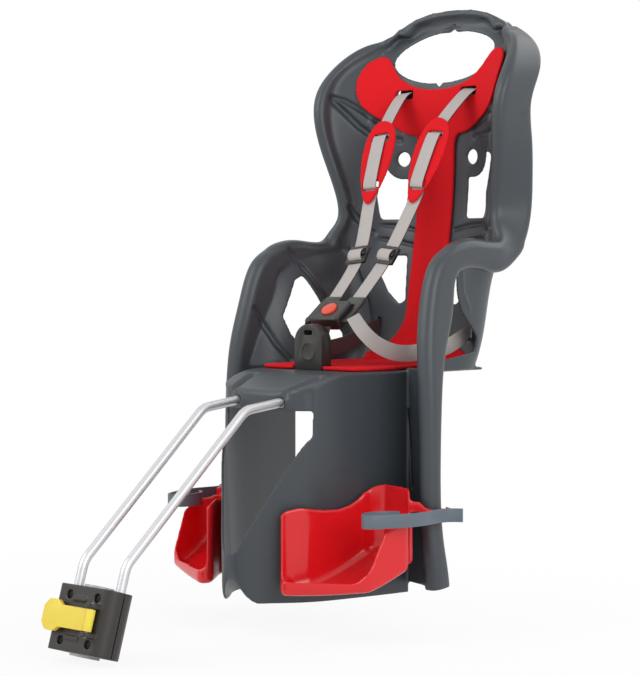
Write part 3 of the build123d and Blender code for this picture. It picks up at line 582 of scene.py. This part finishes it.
class SEAT_OT_mould_shell(bpy.types.Operator):
    """Moulds the one-piece shell with softened edges and joints"""

    bl_idname = "seat.mould_shell"
    bl_label = "Mould shell"

    def execute(self, context):
        sizes, colours = context.scene.seat_sizes, context.scene.seat_colours
        shell = copy_of("seat_shell", "moulded_shell")
        close_gaps(shell, sizes.shell_grain, sizes.rim_blend, rim_share)
        blend_shoulders(shell)
        rows = places_of(shell)
        for route, way, wide, depth in CREASES:
            for _, s in SIDES:
                line = [numpy.array(on_side(s, place)) for place in route]
                inward = numpy.array((s * way[0], way[1], way[2]))
                rows = press_groove(rows, line, inward, wide / 1000, depth / 1000)
        put_places(shell, trim_feet(rows))
        apply(shell, "SMOOTH", factor=0.5, iterations=5)
        thin_out(shell, sizes.shell_faces)
        bpy.ops.object.shade_smooth()
        stands_for(shell, "seat_shell", moulded("slate_plastic", colours.shell, gloss=0.36))
        return {"FINISHED"}


class SEAT_OT_lay_padding(bpy.types.Operator):
    """Lays the foam pad up the back and over the seat, and makes the shoulder pads"""

    bl_idname = "seat.lay_padding"
    bl_label = "Lay padding"

    def execute(self, context):
        sizes, colours = context.scene.seat_sizes, context.scene.seat_colours
        finish = moulded("red_felt", colours.foam, gloss=0.82, grain=1400.0, depth=0.0004)
        finish.node_tree.nodes["Principled BSDF"].inputs["Specular IOR Level"].default_value = 0.15
        for node, name in (("seat_pad", "back_and_seat_pad"), ("shoulder_pad_left", "left_shoulder_pad"),
                           ("shoulder_pad_right", "right_shoulder_pad")):
            pad = copy_of(node, name)
            if node != "seat_pad":
                close_gaps(pad, PAD_GRAIN, PAD_BLEND, all_over)
            soften(pad, sizes.foam_grain, rounds=5)
            stands_for(pad, node, finish)
        return {"FINISHED"}


class SEAT_OT_weave_straps(bpy.types.Operator):
    """Weaves the shoulder, lap and crotch straps along their CAD routes"""

    bl_idname = "seat.weave_straps"
    bl_label = "Weave straps"

    def execute(self, context):
        sizes, colours = context.scene.seat_sizes, context.scene.seat_colours
        light = woven("grey_webbing", colours.webbing, threads=0.6)
        dark = woven("brown_webbing", colours.crotch, threads=0.6)
        for side, s in SIDES:
            for kind, route, lies in (("shoulder", *shoulder_route(s)), ("lap", *lap_route(s))):
                strap = ribbon(side + "_" + kind + "_webbing", route, lies,
                               sizes.strap_wide, sizes.strap_thick, dark, light)
                stands_for(strap, kind + "_strap_" + side)
            route, lies = lock_loop(s)
            loop = ribbon(side + "_lock_loop", route, lies, sizes.strap_wide, sizes.strap_thick, dark, light)
            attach(loop, "seat")
        route = [seat_at(*place) for place in CROTCH_STEPS]
        strap = ribbon("crotch_webbing", route, [SIDEWAYS] * len(route),
                       sizes.strap_wide, sizes.strap_thick, dark, dark)
        stands_for(strap, "crotch_strap")
        return {"FINISHED"}


def pad_route(s):
    """Route of a shoulder strap along its pad, from the top, with the ways up the pad and out of it."""
    top, low = on_side(s, PAD_TOP), on_side(s, PAD_LOW)
    up = (top - low).normalized()
    out = SIDEWAYS.cross(up).normalized()
    middle = (top + low) / 2
    return [middle + up * along + out * off for along, off in PAD_STEPS], up, out


def lock_frame(s):
    """Middle of a strap lock, with the ways across, along and out of it."""
    passed, up, out = pad_route(s)
    run = (on_side(s, BUCKLE_END) - passed[-1]).normalized()
    across = up.cross(out).normalized()
    across = (across - run * across.dot(run)).normalized()
    return on_side(s, STRAP_LOCK), across, run, run.cross(across).normalized()


def lock_loop(s):
    """Route of the webbing's loop over the lock's middle bar, and the way its width lies."""
    lock, across, run, out = lock_frame(s)
    route = [lock + run * along + out * rise for along, rise in LOOP_STEPS]
    return route, [across] * len(route)


def shoulder_route(s):
    """Route of a shoulder strap from behind the back to the buckle, and the way its width lies."""
    passed, up, out = pad_route(s)
    lock, end = on_side(s, STRAP_LOCK), on_side(s, BUCKLE_END)
    run = (end - passed[-1]).normalized() * LOCK_REACH
    route = [on_side(s, place) for place in SHOULDER_SLOT] + passed + [lock - run, lock + run, end]
    lie = up.cross(out).normalized()
    return route, [lie] * len(route)


def lap_route(s):
    """Route of a lap strap from the buckle's tongue round the hip to its slot, and the way its width lies."""
    return [on_side(s, place) for place, _ in LAP_STEPS], [s * Vector(lie) for _, lie in LAP_STEPS]


def block(centre, axes, halves):
    """A box about centre with its sides along axes."""
    bpy.ops.object.select_all(action="DESELECT")
    bpy.ops.mesh.primitive_cube_add(size=2.0)
    box = bpy.context.active_object
    for vertex in box.data.vertices:
        corner = (axis * half * way for axis, half, way in zip(axes, halves, vertex.co))
        vertex.co = centre + sum(corner, Vector())
    return box


def joined(name, pieces):
    """One object made of the pieces."""
    bpy.ops.object.select_all(action="DESELECT")
    for piece in pieces:
        piece.select_set(True)
    bpy.context.view_layer.objects.active = pieces[0]
    bpy.ops.object.join()
    pieces[0].name = name
    return pieces[0]


class SEAT_OT_fit_hardware(bpy.types.Operator):
    """Makes the buckle, its tongues, the strap locks, dark slot plates of painted shade, stops, slider and
    crotch guide
    """

    bl_idname = "seat.fit_hardware"
    bl_label = "Fit hardware"

    def execute(self, context):
        sizes, colours = context.scene.seat_sizes, context.scene.seat_colours
        finish = moulded("black_plastic", colours.hardware, gloss=0.32)
        names = ["buckle_body", "crotch_slider", "crotch_guide", "strap_stops"]
        for side, s in SIDES:
            names.append("buckle_tongue_" + side)
            lock, across, run, out = lock_frame(s)
            axes = (across, run, out)
            bars = [block(lock + across * (way * LOCK_HALF), axes, LOCK_SIDE) for way in (1, -1)]
            bars += [block(lock + run * along + out * rise, axes, LOCK_BAR) for along, rise in LOCK_BARS]
            piece = joined(side + "_strap_lock", bars)
            round_edges(piece, sizes.edge_round)
            stands_for(piece, "strap_adjuster_" + side, finish)
            # Painted shade: a dark plate inside the shoulder slot hides the light showing past the strap.
            plate = block(on_side(s, SLOT_MIDDLE), SLOT_AXES, SLOT_HALVES)
            plate.name = side + "_slot_shade"
            plate.data.materials.append(finish)
            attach(plate, "seat")
        for node in names:
            piece = copy_of(node, node + "_finished")
            round_edges(piece, sizes.edge_round)
            stands_for(piece, node, finish)
        button = copy_of("buckle_button", "push_button")
        round_edges(button, 1.5 * sizes.edge_round, segments=3)
        finish = moulded("orange_button", colours.button, gloss=0.25)
        stands_for(button, "buckle_button", finish, "button")
        return {"FINISHED"}


class SEAT_OT_mould_footrests(bpy.types.Operator):
    """Moulds the glossy footrests and their rubber straps"""

    bl_idname = "seat.mould_footrests"
    bl_label = "Mould footrests"

    def execute(self, context):
        sizes, colours = context.scene.seat_sizes, context.scene.seat_colours
        gloss = moulded("red_gloss_plastic", colours.tray, gloss=0.16, depth=0.0001)
        rubber = moulded("grey_rubber", colours.rubber, gloss=0.42)
        for side, _ in SIDES:
            tray = copy_of("footrest_" + side, side + "_foot_tray")
            close_gaps(tray, TRAY_GRAIN, TRAY_BLEND, basin_share)
            put_places(tray, lower_clip(places_of(tray)))
            soften(tray, voxel=0.0012, rounds=24, faces=90000)
            stands_for(tray, "footrest_" + side, gloss, side + "_footrest")
            strap = copy_of("foot_strap_" + side, side + "_rubber_strap")
            round_edges(strap, 0.5 * sizes.edge_round)
            stands_for(strap, "foot_strap_" + side, rubber, side + "_footrest")
        return {"FINISHED"}


class SEAT_OT_bend_rod(bpy.types.Operator):
    """Finishes the bent steel rod, its plate and all the fasteners"""

    bl_idname = "seat.bend_rod"
    bl_label = "Bend rod"

    def execute(self, context):
        sizes, colours = context.scene.seat_sizes, context.scene.seat_colours
        bright = metal("bright_steel", colours.steel, gloss=0.42)
        rod = copy_of("carrier_rod", "bent_rod")
        soften(rod, voxel=0.0009, rounds=6, faces=60000)
        stands_for(rod, "carrier_rod", bright)
        zinc = metal("zinc_plate", tuple(0.9 * part for part in colours.steel), gloss=0.35)
        # Painted shade: the bracket bolts are near black so the recessed holes they sit in read dark.
        black = metal("bolt_hole_shade_steel", colours.bolt_hole_shade, gloss=0.45)
        for node in ("rod_clamp_plate", "rod_bolts", "bracket_bolts", "bracket_nuts", "lever_pin"):
            piece = copy_of(node, node + "_finished")
            round_edges(piece, 0.4 * sizes.edge_round)
            stands_for(piece, node, black if node == "bracket_bolts" else zinc)
        return {"FINISHED"}


class SEAT_OT_build_bracket(bpy.types.Operator):
    """Makes the two bracket halves, the tube liners and the quick-release lever"""

    bl_idname = "seat.build_bracket"
    bl_label = "Build bracket"

    def execute(self, context):
        sizes, colours = context.scene.seat_sizes, context.scene.seat_colours
        finish = moulded("bracket_plastic", colours.bracket, gloss=0.38)
        for half in ("front", "rear"):
            piece = copy_of("bracket_" + half, half + "_bracket_half")
            soften(piece, voxel=0.0008, rounds=10, faces=120000)
            stands_for(piece, "bracket_" + half, finish)
        liners = copy_of("tube_liners", "tube_liner_halves")
        round_edges(liners, 0.4 * sizes.edge_round)
        stands_for(liners, "tube_liners", moulded("liner_sleeve", colours.liner, gloss=0.3))
        lever = copy_of("release_lever", "yellow_lever")
        round_edges(lever, 1.4 * sizes.edge_round, segments=3)
        finish = moulded("yellow_plastic", colours.lever, gloss=0.3)
        # Painted shade: the lever's yellow turns orange where its surface turns away.
        paint_edge_shade(finish, colours.lever, colours.lever_edge_shade)
        stands_for(lever, "release_lever", finish, "lever")
        return {"FINISHED"}


class SEAT_OT_set_stage(bpy.types.Operator):
    """Sets the pale floor, the soft light and the camera"""

    bl_idname = "seat.set_stage"
    bl_label = "Set stage"

    def execute(self, context):
        scene = context.scene
        scene.view_settings.view_transform = "Standard"
        bpy.ops.object.select_all(action="DESELECT")
        bpy.ops.mesh.primitive_plane_add(size=FLOOR_WIDE, location=(0.0, 0.0, cad_box[0][2] - FLOOR_GAP))
        floor = context.active_object
        floor.name = "floor"
        floor.data.materials.append(pale_floor())
        scene.world = soft_world()
        for name, place, size, power in LAMPS:
            bpy.ops.object.light_add(type="AREA", location=place)
            lamp = context.active_object
            lamp.name = name
            lamp.data.size = size
            lamp.data.energy = power
            lamp.rotation_euler = (LAMP_AIM - Vector(place)).to_track_quat("-Z", "Y").to_euler()
        bpy.ops.object.camera_add(location=CAMERA_PLACE)
        camera = context.active_object
        camera.name = "photo_camera"
        camera.data.sensor_fit = "HORIZONTAL"
        camera.data.sensor_width = 36.0
        camera.data.lens = CAMERA_LENS
        camera.data.clip_end = 60.0
        camera.rotation_euler = CAMERA_LOOK.to_track_quat("-Z", "Y").to_euler()
        scene.camera = camera
        return {"FINISHED"}


def seen_rays(tree):
    """A mask of the rays that show the background: camera, glossy and transmission rays."""
    path = tree.nodes.new("ShaderNodeLightPath")
    mask = path.outputs["Is Camera Ray"]
    for ray in ("Is Glossy Ray", "Is Transmission Ray"):
        either = tree.nodes.new("ShaderNodeMath")
        either.operation = "MAXIMUM"
        tree.links.new(mask, either.inputs[0])
        tree.links.new(path.outputs[ray], either.inputs[1])
        mask = either.outputs["Value"]
    return mask


def pale_floor():
    """White floor that keeps a faint shadow."""
    material, shader = finish_base("pale_floor", (0.9, 0.9, 0.9))
    shader.inputs["Roughness"].default_value = 0.9
    tree = material.node_tree
    glow = tree.nodes.new("ShaderNodeEmission")
    glow.inputs["Color"].default_value = (1.0, 1.0, 1.0, 1.0)
    place = tree.nodes.new("ShaderNodeTexCoord")
    reach = tree.nodes.new("ShaderNodeVectorMath")
    reach.operation = "LENGTH"
    tree.links.new(place.outputs["Object"], reach.inputs[0])
    white = tree.nodes.new("ShaderNodeMapRange")
    white.inputs["From Min"].default_value = 0.4
    white.inputs["From Max"].default_value = 1.1
    white.inputs["To Min"].default_value = 0.9
    tree.links.new(reach.outputs["Value"], white.inputs["Value"])
    share = tree.nodes.new("ShaderNodeMath")
    share.operation = "MULTIPLY"
    tree.links.new(seen_rays(tree), share.inputs[0])
    tree.links.new(white.outputs["Result"], share.inputs[1])
    blend = tree.nodes.new("ShaderNodeMixShader")
    tree.links.new(share.outputs["Value"], blend.inputs["Fac"])
    tree.links.new(shader.outputs["BSDF"], blend.inputs[1])
    tree.links.new(glow.outputs["Emission"], blend.inputs[2])
    tree.links.new(blend.outputs["Shader"], tree.nodes["Material Output"].inputs["Surface"])
    return material


def soft_world():
    """White to the camera, softer as a light."""
    world = bpy.data.worlds.new("studio")
    world.use_nodes = True
    tree = world.node_tree
    light = tree.nodes["Background"]
    light.inputs["Color"].default_value = (0.95, 0.97, 1.0, 1.0)
    light.inputs["Strength"].default_value = 0.55
    white = tree.nodes.new("ShaderNodeBackground")
    white.inputs["Color"].default_value = (1.0, 1.0, 1.0, 1.0)
    white.inputs["Strength"].default_value = 1.0
    blend = tree.nodes.new("ShaderNodeMixShader")
    tree.links.new(seen_rays(tree), blend.inputs["Fac"])
    tree.links.new(light.outputs["Background"], blend.inputs[1])
    tree.links.new(white.outputs["Background"], blend.inputs[2])
    tree.links.new(blend.outputs["Shader"], tree.nodes["World Output"].inputs["Surface"])
    return world


PIECES = (SEAT_OT_mould_shell, SEAT_OT_lay_padding, SEAT_OT_weave_straps, SEAT_OT_fit_hardware,
          SEAT_OT_mould_footrests, SEAT_OT_bend_rod, SEAT_OT_build_bracket, SEAT_OT_set_stage)


class SEAT_PT_panel(bpy.types.Panel):
    """Lists the seat's pieces and their sizes and colours"""

    bl_idname = "SEAT_PT_panel"
    bl_label = "Child bike seat"
    bl_space_type = "VIEW_3D"
    bl_region_type = "UI"
    bl_category = "Bike seat"

    def draw(self, context):
        for piece in PIECES:
            self.layout.operator(piece.bl_idname)
        for group in (context.scene.seat_sizes, context.scene.seat_colours):
            for key in group.__annotations__:
                self.layout.prop(group, key)


CLASSES = (SeatSizes, SeatColours) + PIECES + (SEAT_PT_panel,)


def register():
    for cls in CLASSES:
        bpy.utils.register_class(cls)
    bpy.types.Scene.seat_sizes = bpy.props.PointerProperty(type=SeatSizes)
    bpy.types.Scene.seat_colours = bpy.props.PointerProperty(type=SeatColours)


def unregister():
    del bpy.types.Scene.seat_colours
    del bpy.types.Scene.seat_sizes
    for cls in reversed(CLASSES):
        bpy.utils.unregister_class(cls)


def main():
    register()
    bpy.ops.seat.mould_shell()
    bpy.ops.seat.lay_padding()
    bpy.ops.seat.weave_straps()
    bpy.ops.seat.fit_hardware()
    bpy.ops.seat.mould_footrests()
    bpy.ops.seat.bend_rod()
    bpy.ops.seat.build_bracket()
    bpy.ops.seat.set_stage()


if __name__ == "__main__":
    main()
